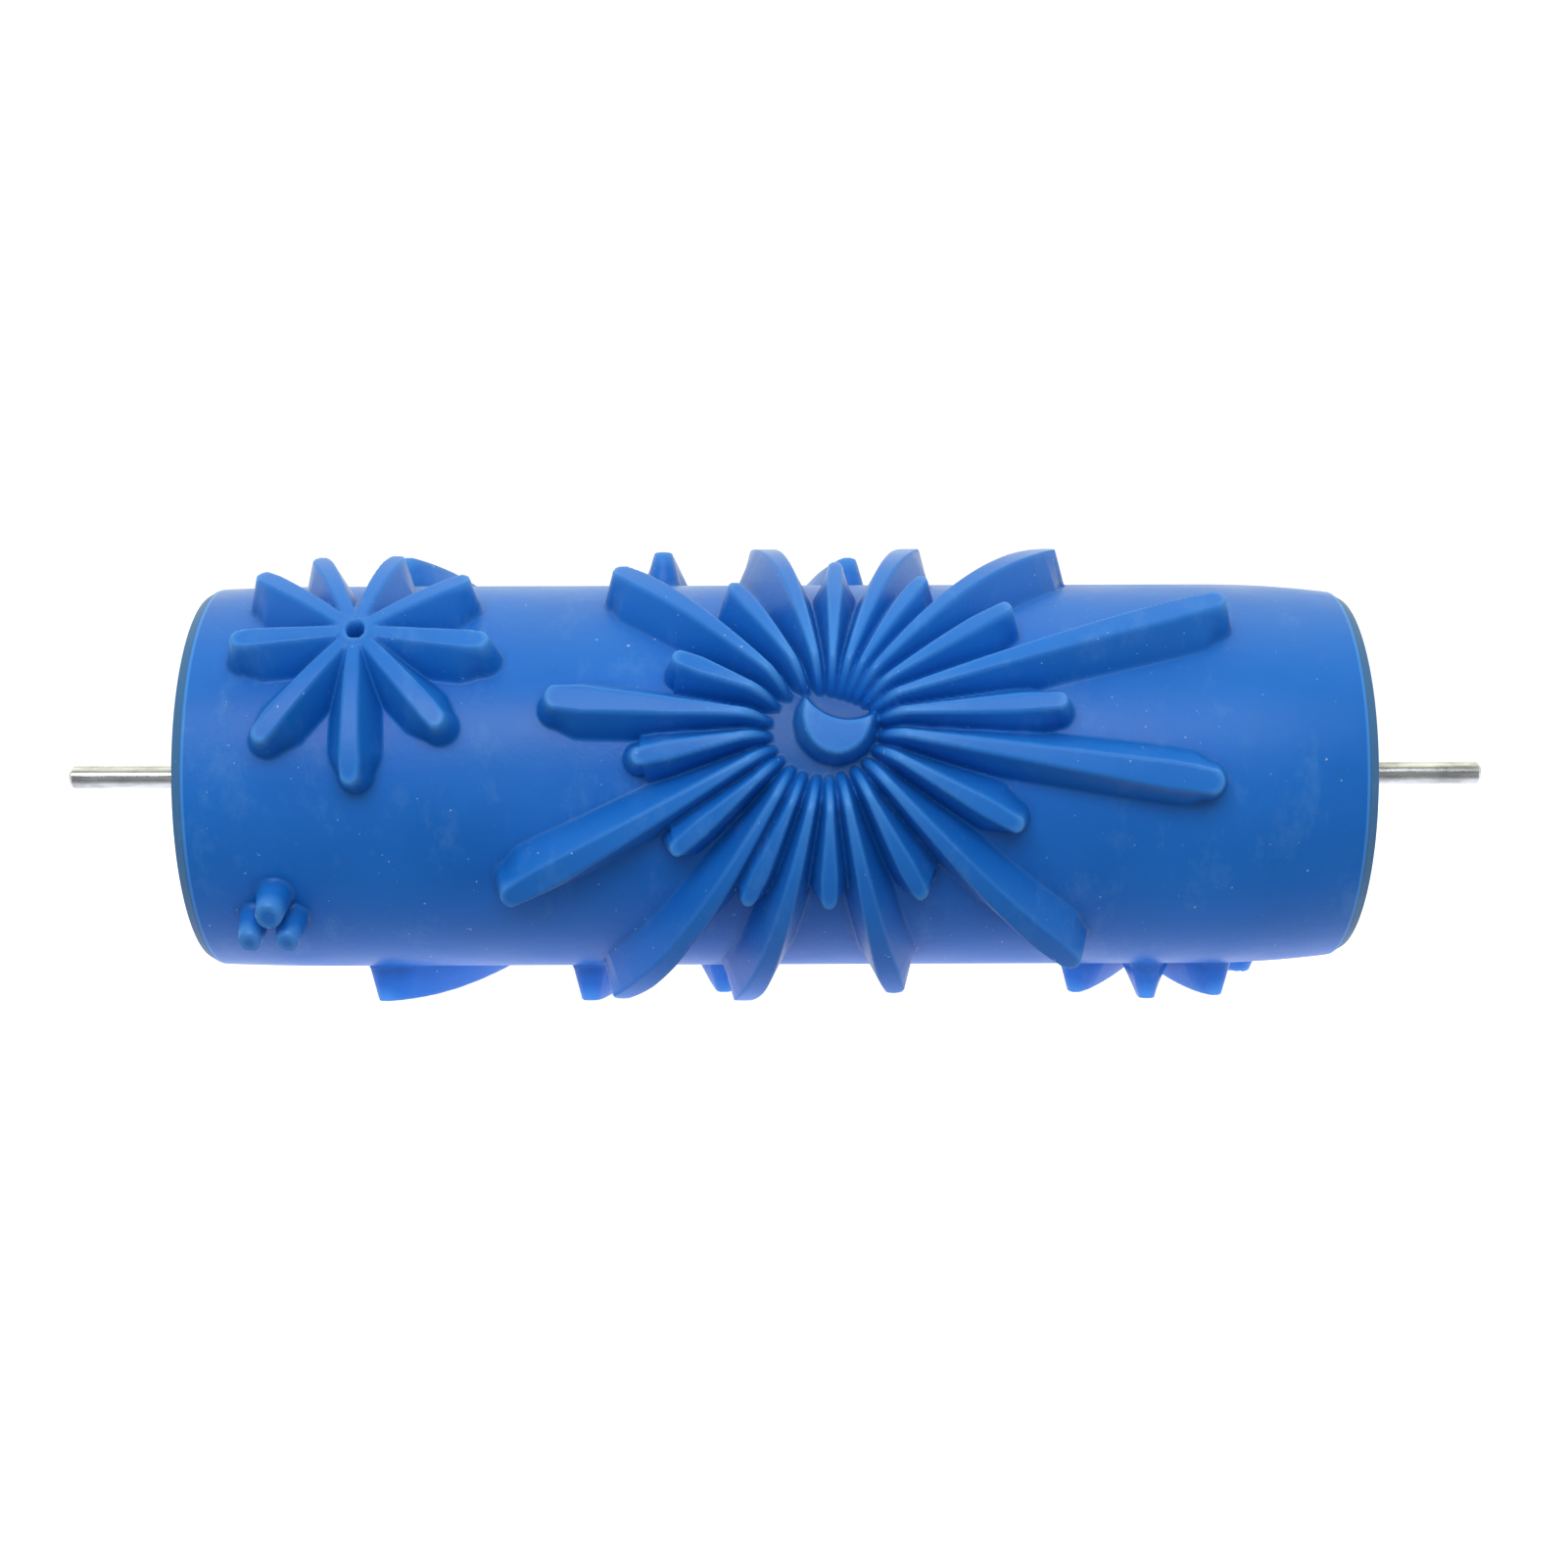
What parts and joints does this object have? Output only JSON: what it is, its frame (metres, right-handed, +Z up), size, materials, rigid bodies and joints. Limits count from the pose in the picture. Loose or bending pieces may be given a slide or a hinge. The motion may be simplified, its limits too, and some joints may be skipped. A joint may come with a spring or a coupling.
{
  "type": "textured pattern roller",
  "caption": "Rubber pattern roller with a raised flower relief on a plastic core, turning on a thin steel axle whose two ends stick out to sit in a roller frame.",
  "frame": {"origin": "on the axle's axis, halfway along the rubber sleeve", "axes": "+X along the axle towards the right-hand end, +Z up, with the front of the pattern facing -Y"},
  "size_m": [0.19, 0.0606, 0.0606],
  "materials": {
    "rubber": "moulded satin rubber, mid blue",
    "core_plastic": "extruded grey tube",
    "cap_plastic": "moulded off-white plastic",
    "bush_plastic": "smooth acetal",
    "axle_steel": "bright zinc-plated drawn rod",
    "washer_plastic": "black nylon",
    "ring_steel": "bright spring steel"
  },
  "bodies": {
    "axle": {"axle": "axle_steel", "thrust_washer_left": "washer_plastic", "thrust_washer_right": "washer_plastic", "retaining_ring_left": "ring_steel", "retaining_ring_right": "ring_steel"},
    "roller": {"rubber_sleeve": "rubber", "core_tube": "core_plastic", "end_cap_left": "cap_plastic", "end_cap_right": "cap_plastic", "bearing_bush_left": "bush_plastic", "bearing_bush_right": "bush_plastic"}
  },
  "joints": [
    {"name": "roller_spin", "type": "hinge", "parent": "axle", "child": "roller", "pos_m": [0, 0, 0], "axis": [1, 0, 0], "continuous": true}
  ]
}
